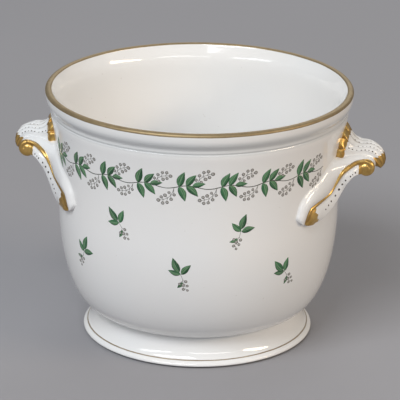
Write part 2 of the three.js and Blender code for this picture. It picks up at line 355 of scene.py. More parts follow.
# The bowl's glaze, with the gilt band over the lip and painted shade with pooled glaze in the groove and cove
# under it
def makeBowlFinish():
    paint = Paint("bowlGlaze")
    ragged = (paint.mottle(55.0, 2.0) - 0.5) * 0.5
    radius = paint.radius()
    # painted shade, with pooled glaze, in the groove and the cove under the lip, on the outside only
    poolingAndShade = paint.z.near(*lip["groove"]) * 0.8 + paint.z.near(*lip["cove"]) * 0.6
    layer = glazeLayer(paint, poolingAndShade * radius.above(lip["outsideFrom"], 0.3))
    edge = lip["goldInside"] + radius.above(lip["crest"], 0.5) * (lip["goldOutside"] - lip["goldInside"])
    mask = (paint.z + ragged - edge).above(0.0, 0.12)
    return finishCeramic(paint, gildLayer(paint, layer, mask, rimGold), mask * 0.7)


# The foot's glaze, with a thin line above the toe, the bare edge that it stands on, and painted shade with
# pooled glaze at its top under the belly
def makeFootFinish():
    paint = Paint("footGlaze")
    # the top of the foot is greyed as painted shade under the belly, with pooled glaze
    layer = glazeLayer(paint, paint.z.above(*foot["poolingAndShade"]) * 0.5)
    height = paint.z + (paint.mottle(80.0, 2.0) - 0.5) * 0.3
    line = height.near(*foot["line"]) * paint.radius().above(foot["outsideFrom"], 0.2)
    line = line * (0.7 + paint.mottle(140.0, 2.0) * 0.5).atMost(1)
    colour, roughness, normal = gildLayer(paint, layer, line, lineGold)
    bare = 1 - height.above(foot["bareTo"], 0.15)
    dirt = paint.mottle(240.0, 4.0).above(0.52, 0.12) * (1 - paint.z.above(0.2, 0.2))
    clay = paint.mix(dirt, biscuit["colour"], biscuit["grime"])
    grain = paint.bump(paint.mottle(1800.0, 3.0) * bare, 0.7, 0.0001, normal)
    layer = (paint.mix(bare, colour, clay), roughness * (1 - bare) + biscuit["roughness"] * bare, grain)
    return finishCeramic(paint, layer, line * (1 - bare) * 0.4)


# The handles' glaze. The gild attribute is how far inside the gilding a place is, in millimetres. The crease
# share greys and darkens grooves with pooled glaze and painted shade
def makeHandleFinish():
    paint = Paint("handleGlaze")
    ragged = (paint.mottle(420.0, 2.0) - 0.5) * 1.1
    crease = paint.attribute("crease").atMost(1)
    mask = (paint.attribute("gild") + ragged).above(0.0, 0.16)
    broken = paint.mottle(210.0, 2.0).above(0.45, 0.12)
    hairline = paint.attribute("hairline").above(0.55, 0.2) * broken * 0.4
    # glaze greyed in creases: pooled glaze and painted shade
    white, roughness, normal = glazeLayer(paint, crease * 0.5)
    colour, roughness, normal = gildLayer(paint, (white, roughness + 0.06, normal), mask, gold)
    colour = paint.mix(hairline * (1 - mask), colour, gold["hairline"])
    # gold darkened in its grooves as painted shade
    colour = paint.mix(mask * crease * 0.7, colour, gold["groove"])
    return finishCeramic(paint, (colour, roughness, normal), mask * 0.95, mask * 0.2)


# Radius of the wall's outside at a height
def wallRadius(height):
    if height >= bowl["bellyMid"]:
        rise = (height - bowl["bellyMid"]) / (bowl["neckTop"] - bowl["bellyMid"])
        return bowl["bellyBase"] + bowl["bellySwell"] + bowl["neckFlare"] * rise ** bowl["neckPower"]
    fall = min(1, (bowl["bellyMid"] - height) / bowl["bellyDrop"])
    power = bowl["bellyPower"]
    return bowl["bellyBase"] + bowl["bellySwell"] * (1 - fall ** power) ** (1 / power)


# Radius of its inside, above the floor
def innerRadius(height):
    if height >= bowl["bellyMid"]:
        return wallRadius(height) - bowl["wall"]
    swell = wallRadius(bowl["bellyMid"]) - bowl["wall"] - bowl["floorRadius"]
    fall = min(1, (bowl["bellyMid"] - height) / (bowl["bellyMid"] - bowl["floorTop"]))
    power = bowl["bellyPower"]
    return bowl["floorRadius"] + swell * (1 - fall ** power) ** (1 / power)


# Point at t, from 0 to 1, of the smooth curve through some places that the source draws too
def curvePoint(places, t):
    last = len(places) - 1
    at = min(max(t, 0.0), 1.0) * last
    first = min(int(at), last - 1)
    weight = at - first
    p1, p2 = Vector(places[first]), Vector(places[first + 1])
    p0 = Vector(places[first - 1]) if first > 0 else p1 * 2 - p2
    p3 = Vector(places[first + 2]) if first + 2 <= last else p2 * 2 - p1
    d0, d1, d2 = (max((b - a).length, 1e-6) ** 0.5 for a, b in ((p0, p1), (p1, p2), (p2, p3)))
    start = ((p1 - p0) / d0 - (p2 - p0) / (d0 + d1) + (p2 - p1) / d1) * d1
    end = ((p2 - p1) / d1 - (p3 - p1) / (d1 + d2) + (p3 - p2) / d2) * d1
    w2, w3 = weight * weight, weight ** 3
    leaving = p1 * (2 * w3 - 3 * w2 + 1) + start * (w3 - 2 * w2 + weight)
    return leaving + p2 * (3 * w2 - 2 * w3) + end * (w3 - w2)


def curveWay(places, t):
    return (curvePoint(places, min(t + 0.004, 1)) - curvePoint(places, max(t - 0.004, 0))).normalized()


# Radii and heights along the smooth curve through those of a profile
def smoothLine(places, perStep):
    steps = (len(places) - 1) * perStep
    flat = [(r, 0, z) for r, z in places]
    return [(p.x, p.z) for p in (curvePoint(flat, i / steps) for i in range(steps + 1))]


# Turned solid: the profile runs up the outside and back down the inside, and closes on the axis or on itself
def turned(name, profile, steps, finish, closed):
    vertices, rows, faces = [], [], []
    for r, z in profile:
        if r < 1e-6:
            vertices.append((0, 0, z * mm))
            rows.append([len(vertices) - 1] * steps)
            continue
        rows.append(range(len(vertices), len(vertices) + steps))
        for i in range(steps):
            angle = 2 * math.pi * i / steps
            vertices.append((r * math.cos(angle) * mm, r * math.sin(angle) * mm, z * mm))
    for low, high in list(zip(rows, rows[1:])) + ([(rows[-1], rows[0])] if closed else []):
        for i in range(steps):
            j = (i + 1) % steps
            corners = [low[i], low[j], high[j], high[i]]
            faces.append([c for k, c in enumerate(corners) if c not in corners[:k]])
    return addObject(name, makeMesh(name, vertices, faces, finish))


def makeBowl():
    low, mid, top, base = bowl["seat"], bowl["bellyMid"], bowl["neckTop"], bowl["floorTop"]
    throat, crowding = bowl["throat"], bowl["crowding"]
    belly, neck, inner, inside = bowl["rows"]
    outer = [low + (mid - low) * (i / belly) ** crowding for i in range(belly + 1)]
    outer += [mid + (top - mid) * i / neck for i in range(1, neck)]
    back = [throat - (throat - mid) * i / inner for i in range(inner)]
    back += [base + (mid - base) * (1 - i / inside) ** crowding for i in range(inside + 1)]
    profile = [(r, low + rise) for r, rise in bowl["under"]]
    profile += [(wallRadius(z), z) for z in outer] + smoothLine(lip["profile"], 5)
    profile += [(innerRadius(z), z) for z in back] + [(r, base) for r in bowl["floorRings"]]
    return turned("bowl_body", profile, bowl["steps"], makeBowlFinish(), False)


def makeFoot():
    profile = smoothLine(foot["toe"], 6) + smoothLine(foot["bore"], 8)
    return turned("foot_body", profile, foot["steps"], makeFootFinish(), True)


bowlBody = makeBowl()
footBody = makeFoot()
print("bowl and foot turned")

# Handles: places are [out from the axis, to the side, up] in millimetres
strap = {
    "ridge": [(119.5, 19.8, 138.3), (114.5, 20.8, 137.6), (109.3, 24.4, 135.2), (104.3, 28.3, 131.2),
              (100.5, 30.2, 124.8), (97.3, 34.2, 118.8), (93.4, 41.5, 116.4), (89.4, 49.3, 115),
              (86.1, 54.9, 113.2), (84.8, 56.8, 110.6)],
    "shoulder": [(119.5, 12.6, 140), (114.5, 14.4, 140.9), (107.4, 19.6, 140.2), (98.4, 29.1, 138.2),
                 (95.1, 36.6, 133.9), (92.4, 42.3, 129.8), (89.3, 48.2, 126.6), (84.7, 55.4, 123.2),
                 (80.4, 61.2, 116.9), (78.6, 63.2, 111.0)],
    "hem": [(119.5, 18.8, 127.9), (116, 22, 129), (112.3, 25.8, 128.3), (108.8, 27.4, 124.6),
            (105.5, 27, 118.8), (101.9, 29.8, 112), (98.2, 36, 107), (93.8, 43, 103.4),
            (90.8, 47.6, 102.2), (88.4, 50, 101.6)],
    "palm": [(119.5, 9.6, 129), (114.5, 12, 130.5), (104, 15, 130), (97, 17, 123.5), (94.5, 18.8, 118),
             (91, 23.5, 110.5), (88.2, 31, 105), (85.5, 38.5, 101.5), (83.2, 43.3, 100.4), (81.5, 46, 99.8)],
    "steps": 110, "bead": 1.3, "recess": 0.6, "rootDepth": 5.0, "sunk": 2.8, "fillet": (1.5, 4.2),
    "endWay": (-0.275, 0.393, -0.877), "endReach": 5.8, "endSteps": 14, "voxel": 0.36, "soften": 6,
    # points on each part of the section
    "filletSteps": 9, "sideSteps": 16, "beadSteps": 8, "underSteps": 10,
    # stretches of t where it leaves the curl for the wall, and where its fillet widens and narrows again
    "toWall": (0.12, 0.3), "widening": (0.22, 0.5), "narrowing": (0.78, 0.98),
    # how the fillet is tucked away beside the curl, where there is no wall yet
    "tuck": (0, -2.4, -1.1),
    # bulges as shares of the width: all along, and what the lower end adds
    "bandBulge": (0.09, 0.08), "faceBulge": (0.05, 0.08), "underBulge": 0.1,
    # groove beside the ridge, darkened with painted shade and pooled glaze: how dark, how far from it, half
    # width
    "groove": (0.8, 1.8, 0.7),
    # half width of the gilt line along the ridge, from the curl to the wall
    "goldLine": [(0, 2.0), (0.2, 1.6), (0.34, 1.1), (0.46, 0.65), (0.54, 0.4), (0.6, 0.4), (0.68, 0.9),
                 (0.8, 1.5), (1, 2.0)],
    # where the gilding of the curl ends and that of the lower end starts, along a strap of this length
    "curlGold": 0.105, "tipGold": 0.825, "length": 75.0,
    # unevenness of the gilding at the lower end: size, waves, where the waves start
    "fringe": ((0.018, 17, 0), (0.012, 41, 1)),
}
curl = {"radius": 6.1, "out": 119.8, "up": 133.1, "inner": 9.2, "outer": 20.6, "steps": 72,
        "dome": 1.9, "dish": 0.3, "gold": 3.4,
        # turn of the scroll: depth, where it starts, how far it winds in, half width
        "scroll": (1.0, 0.64, 0.5, 0.15),
        # rings over the face, as shares of the radius
        "face": (0.04, 0.12, 0.22, 0.32, 0.42, 0.52, 0.62, 0.7, 0.78, 0.85, 0.91, 0.96, 0.99)}
leaf = {
    "crest": [(106.2, 0, 158), (106.8, 0, 154.2), (108.2, 0, 150.6), (111, 0, 147.6), (114.8, 0, 145.8),
              (118.6, 0, 145.9), (122.6, 0, 145.4), (126.6, 0, 143.6), (129.7, 0, 140.6), (131.4, 0, 136.9),
              (132, 0, 133.4), (131.4, 0, 130.6)],
    "hem": [(100.9, 21.6, 139.6), (102.6, 21.2, 140.1), (104.9, 20.2, 140.6), (108, 18.4, 141.2),
            (112, 16.2, 141.7), (116, 14.2, 141.6), (119.8, 12.5, 140), (123, 11.2, 137.6), (125.6, 10, 135),
            (127.6, 8.9, 132.2), (128.7, 7.9, 130.4), (129, 6.8, 129.3)],
    "lobes": 7, "steps": 90, "perLobe": 12, "underSteps": 28, "rootSteps": 6, "thickness": 4.2,
    "lobeDepth": 1.5, "lobePower": 2.4, "reach": 0.15, "notch": 5.8, "sunk": 1.6, "hemDrop": 1.6,
    # rolled edge: height, and how far it reaches in t
    "rolledEdge": (2.4, 0.05),
    # furrows of a lobe: depth, how far from its middle, half width
    "furrow": (0.2, 0.45, 0.1),
    # the tip, from this t on, and how far its lobes reach out
    "tipFrom": 0.86, "tipReach": 0.6,
    # gilding: how wide at the edge between lobes and what a lobe adds, and from which t at the tip
    "edgeGold": (2.8, 5.6), "tipGold": 0.76, "length": 50.0,
}


def smoothStep(low, high, value):
    x = min(1, max(0, (value - low) / (high - low)))
    return x * x * (3 - 2 * x)


# Value at a place between stops of (place, value)
def onLine(stops, at):
    for (x0, y0), (x1, y1) in zip(stops, stops[1:]):
        if at <= x1:
            return y0 + (y1 - y0) * max(0, at - x0) / (x1 - x0)
    return stops[-1][1]


# Closed skin over a row of rings. Each end closes on a middle vertex, which takes its facts from its ring
def loft(rings, known):
    count = len(rings[0])
    vertices = [point for ring in rings for point in ring]
    facts = list(known)
    faces = []
    for i in range(len(rings) - 1):
        for j in range(count):
            a, b = i * count + j, i * count + (j + 1) % count
            faces.append((a, b, b + count, a + count))
    for ring, first, flip in ((rings[0], 0, True), (rings[-1], (len(rings) - 1) * count, False)):
        middle = len(vertices)
        vertices.append(sum(ring, Vector()) / count)
        facts.append(facts[first + count // 2])
        for j in range(count):
            a, b = first + j, first + (j + 1) % count
            faces.append((b, a, middle) if flip else (a, b, middle))
    return vertices, facts, faces


# Section of the strap at t. Each point comes with its side and its share of that side
def strapSection(t):
    s, r, h, p = (curvePoint(strap[line], t) for line in ("shoulder", "ridge", "hem", "palm"))
    along = curveWay(strap["ridge"], t)
    bandOut = (r - s).cross(along).normalized()
    faceOut = (h - r).cross(along).normalized()
    radial = Vector((s.x, s.y, 0)).normalized()
    atWall = smoothStep(*strap["toWall"], t)
    root = s.lerp(p, 0.3 * (1 - atWall)) - radial * (strap["rootDepth"] * atWall)
    away = s - r
    away = (away - radial * away.dot(radial)).normalized()
    high, low = strap["fillet"]
    reach = high + (low - high) * smoothStep(*strap["widening"], t)
    reach *= 1 - 0.75 * smoothStep(*strap["narrowing"], t)
    section = [(root, "under", 0.0)]
    for i in range(strap["filletSteps"]):
        u = 1 - i / strap["filletSteps"]
        point = s + away * (reach * u)
        outward = Vector((point.x, point.y, 0)).normalized()
        proud = math.hypot(point.x, point.y) - wallRadius(point.z)
        settle = proud * (1 - (1 - u) ** 2.2) + 0.35 * u * u
        onWall = point - outward * settle
        tucked = s + Vector(strap["tuck"]) * u
        section.append((tucked.lerp(onWall, atWall), "under", 0.0))
    bead = strap["bead"] * (1 - 0.5 * smoothStep(0.25, 0.6, t))
    bulge, more = strap["bandBulge"]
    bandBulge = bulge + more * smoothStep(0.6, 0.9, t)
    bulge, more = strap["faceBulge"]
    faceBulge = bulge * smoothStep(0, 0.1, t) + more * smoothStep(0.72, 0.92, t)
    bandEnd = r + (s - r).normalized() * bead
    faceStart = r + (h - r).normalized() * bead
    for i in range(strap["sideSteps"]):
        u = i / strap["sideSteps"]
        lift = bandBulge * (bandEnd - s).length * 4 * u * (1 - u)
        section.append((s.lerp(bandEnd, u) + bandOut * lift, "band", u))
    middle, across = (bandEnd + faceStart) / 2, (faceStart - bandEnd) / 2
    roll = (bandOut + faceOut).normalized()
    for i in range(strap["beadSteps"] + 1):
        u = i / strap["beadSteps"]
        point = middle - across * math.cos(math.pi * u) + roll * (bead * 1.25 * math.sin(math.pi * u))
        section.append((point, "bead", u))
    for i in range(1, strap["sideSteps"] + 1):
        u = i / strap["sideSteps"]
        recess = strap["recess"] * math.exp(-((u - 0.14) / 0.1) ** 2) * (1 - smoothStep(0.3, 0.5, t))
        lift = faceBulge * (h - faceStart).length * 4 * u * (1 - u) - recess
        section.append((faceStart.lerp(h, u) + faceOut * lift, "face", u))
    underOut = (p - h).cross(along).normalized()
    for i in range(1, strap["underSteps"] + 1):
        u = i / strap["underSteps"]
        lift = strap["underBulge"] * (p - h).length * 4 * u * (1 - u)
        section.append((h.lerp(p, u) + underOut * lift, "under", 1 - 0.6 * u))
    return section


# Gild, crease and hairline of a point of the strap, which is so far away from its ridge. The crease is
# painted shade, with pooled glaze, in the groove beside the ridge
def strapFact(t, side, share, away):
    if side == "under":
        return (-4.0 - 4.0 * share, 0.0, 0.0)
    dark, distance, width = strap["groove"]
    crease = 0.0 if side == "bead" else dark * math.exp(-((away - distance) / width) ** 2)
    line = onLine(strap["goldLine"], t) - (0 if side == "bead" else away)
    if side == "band":
        return (line, crease, 0.0)
    curlGold = (strap["curlGold"] + 0.035 * share - t) * strap["length"]
    fringe = sum(size * math.sin(share * waves + start) for size, waves, start in strap["fringe"])
    tipGold = (t - strap["tipGold"] - 0.1 * share + fringe) * strap["length"]
    return (max(line, curlGold, tipGold), crease, 0.0)


# The strap and its curl, as two closed skins
def strapSkins():
    rings, known = [], []
    for i in range(strap["steps"] + 1):
        t = i / strap["steps"]
        section = strapSection(t)
        ridge = curvePoint(strap["ridge"], t)
        rings.append([point for point, side, share in section])
        known += [strapFact(t, side, share, (point - ridge).length) for point, side, share in section]
    last = rings[-1]
    ends = known[-len(last):]
    middle = sum(last, Vector()) / len(last)
    way = Vector(strap["endWay"])
    for i in range(1, strap["endSteps"]):
        angle = math.pi / 2 * i / strap["endSteps"]
        size, reach = math.cos(angle) ** 0.8, strap["endReach"] * math.sin(angle)
        ring = []
        for point, (place, side, share) in zip(last, section):
            lobe = math.sin(math.pi * share) if side in ("band", "face") else 0.0
            inner = share if side in ("band", "under") else 1.0
            ring.append(point.lerp(middle, 1 - size) + way * (reach * (0.9 - 0.3 * inner + 0.4 * lobe)))
        rings.append(ring)
        known += ends
    return loft(rings, known), curlSkin()


# Curl: a domed knob with a rolled rim and a shallow turn of the scroll on its face
def curlSkin():
    radius, outer, inner, steps = curl["radius"], curl["outer"], curl["inner"], curl["steps"]
    side = [(1, outer - 2), (1, outer - 4), (1, outer - 7)]
    side += [(1, inner + 1.2), (0.93, inner + 0.4), (0.8, inner)]
    scroll, start, winding, width = curl["scroll"]
    rings, known = [], []
    for share, at in [(share, None) for share in curl["face"]] + side:
        r = radius * share
        ring = []
        for i in range(steps):
            angle = 2 * math.pi * i / steps
            turn = (0.5 - angle / (2 * math.pi)) % 1
            groove = math.exp(-((share - start + winding * turn) / width) ** 2)
            closing = smoothStep(0.9, 1, turn)
            groove *= (1 - closing) * (1 - smoothStep(0.38, 0.6, turn)) + closing
            domed = outer - curl["dome"] * share ** 7 - scroll * groove + curl["dish"] * (1 - share)
            depth = domed if at is None else at
            ring.append(Vector((curl["out"] + r * math.cos(angle), depth, curl["up"] + r * math.sin(angle))))
            known.append((3.0 if at is None else at - (outer - curl["gold"]), 0.0, 0.0))
        rings.append(ring)
    return loft(rings, known)


factNames = ("gild", "crease", "hairline")


def writeFacts(mesh, names, rows):
    for index, name in enumerate(names):
        layer = mesh.attributes.new(name, "FLOAT", "POINT")
        layer.data.foreach_set("value", [row[index] for row in rows])


# A point moved straight out from the axis or in towards it
def scaledOut(point, scale):
    return Vector((point.x * scale, point.y * scale, point.z))


# Keeps the root of a strap from coming through the wall
def outOfBore(point):
    return scaledOut(point, max(1, (wallRadius(point.z) - strap["sunk"]) / math.hypot(point.x, point.y)))


# Strap and curl melted into one skin, softened as thick glaze leaves them
def makeStrapMesh(finish):
    vertices, known, faces = [], [], []
    for points, facts, skin in strapSkins():
        faces += [tuple(i + len(vertices) for i in face) for face in skin]
        vertices += [outOfBore(point) for point in points]
        known += facts
    piece = addObject("strapSkin", makeMesh("strapSkin", [v * mm for v in vertices], faces, finish))
    melt = piece.modifiers.new("melt", "REMESH")
    melt.mode = "VOXEL"
    melt.voxel_size = strap["voxel"] * mm * 1
    melt.use_smooth_shade = True
    soften = piece.modifiers.new("soften", "SMOOTH")
    soften.factor = 0.5
    soften.iterations = strap["soften"]
    applied(piece)
    tree = KDTree(len(vertices))
    for i, v in enumerate(vertices):
        tree.insert(v * mm, i)
    tree.balance()
    rows = []
    for v in piece.data.vertices:
        near = [(known[i], 1 / (d + 1e-6)) for co, i, d in tree.find_n(v.co, 4)]
        total = sum(weight for fact, weight in near)
        rows.append([sum(fact[k] * weight for fact, weight in near) / total for k in range(3)])
    mesh = piece.data
    writeFacts(mesh, factNames, rows)
    mesh.materials.clear()
    mesh.materials.append(finish)
    bpy.data.objects.remove(piece)
    return mesh


# Point of the arch from hem to hem over the crest, with across from -1 to 1
def archPoint(crest, hem, across):
    turn = across * math.pi / 2
    return Vector((crest.x + (hem.x - crest.x) * (1 - math.cos(turn)), hem.y * math.sin(turn),
                   hem.z + (crest.z - hem.z) * math.cos(turn)))


# Point on the lobed top of the leaf, with the way out of it and how far it is from a lobe's middle. Between
# the lobes the leaf starts further from the wall, which scallops its edge
def leafTop(t, across):
    phase = across * leaf["lobes"] / 2
    off = 2 * abs(phase - round(phase))
    t += leaf["notch"] / leaf["length"] * off ** 2 * (1 - smoothStep(0, 0.2, t))
    crest, hem = curvePoint(leaf["crest"], t), curvePoint(leaf["hem"], t)
    along = curveWay(leaf["crest"], t)
    point = archPoint(crest, hem, across)
    slope = archPoint(crest, hem, across + 0.01) - archPoint(crest, hem, across - 0.01)
    out = slope.cross(along).normalized()
    lobe = 1 - off ** leaf["lobePower"]
    spread = 1 + leaf["reach"] * max(0, 1 - 5 * t) * lobe
    point.y *= spread
    point.z = hem.z + (point.z - hem.z) * spread
    point.z -= leaf["hemDrop"] * smoothStep(0.8, 1.0, abs(across)) * (1 - smoothStep(0.4, 0.7, t))
    high, reach = leaf["rolledEdge"]
    rolled = high * math.exp(-(t / reach) ** 2)
    tipReach = leaf["tipReach"] * smoothStep(leaf["tipFrom"], 1.0, t)
    deep, distance, width = leaf["furrow"]
    furrow = deep * math.exp(-((off - distance) / width) ** 2) * smoothStep(0.05, 0.15, t)
    swell = leaf["lobeDepth"] * (1 - 0.5 * t)
    return point + out * (swell * (lobe - furrow) + rolled * lobe) + along * (tipReach * lobe), out, off


# Ring of the leaf at t: over the lobes from one hem to the other, and back along the underside
def leafRing(t):
    crest, hem = curvePoint(leaf["crest"], t), curvePoint(leaf["hem"], t)
    along = curveWay(leaf["crest"], t)
    ring, facts = [], []
    steps = leaf["lobes"] * leaf["perLobe"]
    low, high = leaf["edgeGold"]
    for i in range(steps + 1):
        across = -1 + 2 * i / steps
        point, out, off = leafTop(t, across)
        lobe = 1 - off ** leaf["lobePower"]
        edge = low + high * lobe - t * leaf["length"]
        tip = (t - leaf["tipGold"] + 0.12 * across ** 2 - 0.025 * (1 - lobe)) * leaf["length"]
        groove = abs(abs(across * leaf["lobes"] / 2) - 0.5)
        hairline = math.exp(-(groove / 0.09) ** 2) * smoothStep(0.08, 0.16, t)
        ring.append(point)
        # the crease share darkens the grooves between lobes as painted shade with pooled glaze
        facts.append((max(edge, tip), 0.9 * smoothStep(0.7, 1.0, off), hairline))
    down = Vector((0, 1, 0)).cross(along).normalized()
    if down.z > 0 and along.x > 0:
        down.negate()
    past = max(0, t - leaf["tipFrom"]) / (1 - leaf["tipFrom"])
    depth = leaf["thickness"] * max(math.sqrt(max(0, 1 - past ** 2)), 0.15)
    lowCrest, lowHem = crest + down * depth, hem + down * (0.8 * depth) - Vector((0, 0.3 * depth, 0))
    for i in range(leaf["underSteps"], -1, -1):
        ring.append(archPoint(lowCrest, lowHem, -1 + 2 * i / leaf["underSteps"]))
        facts.append((1.2 - t * leaf["length"] if t < 0.5 else (t - 0.9) * leaf["length"], 0.0, 0.0))
    return ring, facts


# Moves a point a share of the way to its place inside the wall
def intoWall(point, share):
    sunk = (wallRadius(point.z) - leaf["sunk"]) / math.hypot(point.x, point.y)
    return scaledOut(point, 1 + share * (sunk - 1))


def makeLeafMesh(finish):
    rings, known = [], []
    for i in range(-leaf["rootSteps"], leaf["steps"] + 1):
        ring, facts = leafRing(max(0, i) / leaf["steps"])
        rings.append([intoWall(point, max(0, -i / leaf["rootSteps"])) for point in ring])
        known += facts
    vertices, facts, faces = loft(rings, known)
    mesh = makeMesh("leafSkin", [v * mm for v in vertices], faces, finish)
    writeFacts(mesh, factNames, facts)
    return mesh


# Turns the faces of a closed mesh outwards, whichever way they were laid
def faceOutwards(mesh):
    volume = 0.0
    for polygon in mesh.polygons:
        a, *others = (mesh.vertices[i].co for i in polygon.vertices)
        for b, c in zip(others, others[1:]):
            volume += a.dot(b.cross(c))
    if volume < 0:
        mesh.flip_normals()


# From the right handle to the left one is half a turn, and each strap is the other's mirror image
def handleWay(left, mirror):
    way = Matrix.Rotation(math.pi, 4, "Z") if left else Matrix.Identity(4)
    return way @ Matrix.Scale(-1, 4, (0, 1, 0)) if mirror else way


def placed(name, mesh, left, mirror):
    copy = mesh.copy()
    copy.transform(handleWay(left, mirror))
    faceOutwards(copy)
    copy.name = name
    return addObject(name, copy)


# The two handles: hand, whether it is turned half round, and its straps as place and whether mirrored
hands = (("right", False, (("rear", False), ("front", True))),
         ("left", True, (("front", False), ("rear", True))))
handleFinish = makeHandleFinish()
strapMesh = makeStrapMesh(handleFinish)
print("strap melted:", len(strapMesh.vertices), "vertices")
leafMesh = makeLeafMesh(handleFinish)
print("leaf lofted:", len(leafMesh.vertices), "vertices")


# Painted decoration. It is drawn flat, with X along the wall and Y up, and then wrapped round it. Lengths
# along the wall are true at the radius given
garland = {"height": 140.6, "pitch": 29.0, "repeats": 8, "wave": 1.2, "line": 0.55, "lineSteps": 260,
           "lineSides": 6, "leafLength": 11.5, "leafWidth": 5.2, "leafSteps": 10, "leafHalf": 2,
           "berrySides": 9, "twig": 0.32, "thick": 0.16, "wobble": 0.13, "radius": 101.4,
           # leaves of one repeat: place along it, way in degrees, size
           "leaves": [(1.5, 68, 1.0), (6.5, 52, 0.92), (1.5, -68, 1.0), (6.5, -52, 0.92), (10.5, 5, 0.75)],
           # berry sprays, given alike
           "sprays": [(13.0, 2, 1.15), (27.0, 182, 1.15)]}
sprigs = {"radius": 98.0,
          # sprigs of one side: place along the wall, height, way in degrees, size
          "places": [(-41, 106, 28, 1.2), (42, 105, -22, 1.25), (-78, 76, -30, 1.15), (3, 74, 14, 1.3),
                     (79, 70, 34, 1.15)],
          # leaves of one sprig: across, up, way in degrees, size. Its berries: across, up, radius
          "leaves": [(0.3, 2.2, 152, 0.78), (-0.2, 3.4, 98, 0.98), (0.6, 2.0, 38, 0.86),
                     (0.2, -2.6, -148, 0.5)],
          "berries": [(2.4, -3.2, 1.15), (0.0, -5.4, 1.25), (-2.2, -4.2, 1.05), (2.6, -6.6, 1.0),
                      (-0.6, -8.6, 1.1), (1.9, -10.0, 0.9)],
          "stalk": [(0.1, 3.0), (0.7, -0.6), (0.4, -3.6), (1.1, -7.2)]}
spray = {"stalk": [(0, 0.4), (1.6, 3.4), (4.6, 6.0), (8.2, 6.9)],
         "berries": [(0.6, 4.5, 0.95), (3.3, 2.8, 0.9), (2.8, 7.0, 1.05), (5.9, 4.3, 1.1), (5.5, 8.7, 1.0),
                     (8.3, 5.1, 1.0), (8.1, 8.9, 1.05), (10.4, 6.9, 1.15)]}
enamel = {"dark": (0.014, 0.058, 0.024), "mid": (0.042, 0.155, 0.065), "light": (0.155, 0.31, 0.155),
          "pale": (0.32, 0.45, 0.30), "stem": (0.030, 0.040, 0.028), "berryEdge": (0.11, 0.105, 0.095),
          "berry": (0.40, 0.39, 0.365), "dot": (0.040, 0.026, 0.018), "roughness": 0.16}


def makeLeafEnamel():
    paint = Paint("leafEnamel")
    along, across, tone = (paint.attribute(name) for name in ("along", "across", "tone"))
    stroke = paint.mottle(1.0, 3.0, 0.6, paint.joined(along * 2.2, across * 3.5, tone * 40))
    wide = across.size()
    colour = paint.mix((tone * 0.5 + stroke * 0.9).above(0.6, 0.3), enamel["dark"], enamel["mid"])
    # the brush leaves one half of a leaf lighter
    lit = (stroke * 0.9 + across * 0.3).above(0.5, 0.2) * (1 - wide.above(0.8, 0.2))
    colour = paint.mix(lit * 0.7, colour, enamel["light"])
    veins = (along * 5 - wide * 1.5).join("FRACT").near(0.5, 0.05, 0.07) * (1 - wide.above(0.75, 0.15))
    midrib = (1 - wide.above(0.08, 0.05)) * (1 - along.above(0.85, 0.1))
    colour = paint.mix(veins * 0.35, colour, enamel["dark"])
    colour = paint.mix(midrib * 0.5, colour, enamel["pale"])
    outline = wide.above(0.86, 0.1)
    colour = paint.mix(outline * 0.6, colour, enamel["dark"])
    relief = paint.bump(stroke + outline * 0.4 - midrib * 0.5, 0.5, 0.00006)
    return finishCeramic(paint, (colour, enamel["roughness"] + stroke * 0.08, relief))


# Enamel laid on in a thin wash, a little uneven
def finishWash(paint, colour, wash):
    layer = (colour, enamel["roughness"] + wash * 0.1, paint.bump(wash, 0.4, 0.00005))
    return finishCeramic(paint, layer)


def makeBerryEnamel():
    paint = Paint("berryEnamel")
    edge = paint.attribute("edge")
    wash = paint.mottle(700.0, 3.0, 0.6)
    rim = (edge + (wash - 0.5) * 0.4).above(0.66, 0.12)
    return finishWash(paint, paint.mix(rim, enamel["berry"], enamel["berryEdge"]), wash)


def makePlainEnamel(name, colour):
    paint = Paint(name)
    wash = paint.mottle(420.0, 3.0, 0.6)
    thin = tuple(c * 2.2 + 0.02 for c in colour)
    return finishWash(paint, paint.mix(wash.above(0.55, 0.15) * 0.45, colour, thin), wash)


# Flat leaf of the pattern: a smooth oval blade with a slight bend, lying along X
def makeLeafMotif():
    rings, known = [], []
    steps, half = garland["leafSteps"], garland["leafHalf"]
    length, width, thick = garland["leafLength"], garland["leafWidth"], garland["thick"]
    for i in range(steps + 1):
        s = i / steps
        # widest a little before its middle
        wide = max(0.09, 0.5 * width * math.sin(math.pi * s ** 0.78) ** 0.9)
        bend = 0.5 * math.sin(math.pi * s)
        ring = []
        for j in range(-half, half + 1):
            lift = thick * (1 - 0.45 * (j / half) ** 2)
            ring.append(Vector((s * length, wide * j / half + bend, lift)))
            known.append((s, j / half))
        for j in (1, -1):
            ring.append(Vector((s * length, wide * 0.95 * j + bend, -thick)))
            known.append((s, j))
        rings.append(ring)
    vertices, facts, faces = loft(rings, known)
    mesh = makeMesh("leafMotif", [v * mm for v in vertices], faces, None)
    writeFacts(mesh, ("along", "across"), facts)
    faceOutwards(mesh)
    return mesh


# Adds a low round berry to loose lists of vertices, faces and edge shares
def addBerry(vertices, faces, known, x, y, radius, thick):
    first, sides = len(vertices), garland["berrySides"]
    for share, lift in ((1.0, -thick), (1.0, 0.3 * thick), (0.62, 0.85 * thick)):
        r = radius * share
        for i in range(sides):
            angle = 2 * math.pi * i / sides
            vertices.append(Vector((x + r * math.cos(angle), y + r * math.sin(angle), lift)))
            known.append((share,))
    vertices += [Vector((x, y, thick)), Vector((x, y, -thick))]
    known += [(0.0,), (0.0,)]
    for i in range(sides):
        j = (i + 1) % sides
        for row in (first, first + sides):
            faces.append((row + i, row + j, row + sides + j, row + sides + i))
        faces.append((first + 2 * sides + i, first + 2 * sides + j, first + 3 * sides))
        faces.append((first + j, first + i, first + 3 * sides + 1))


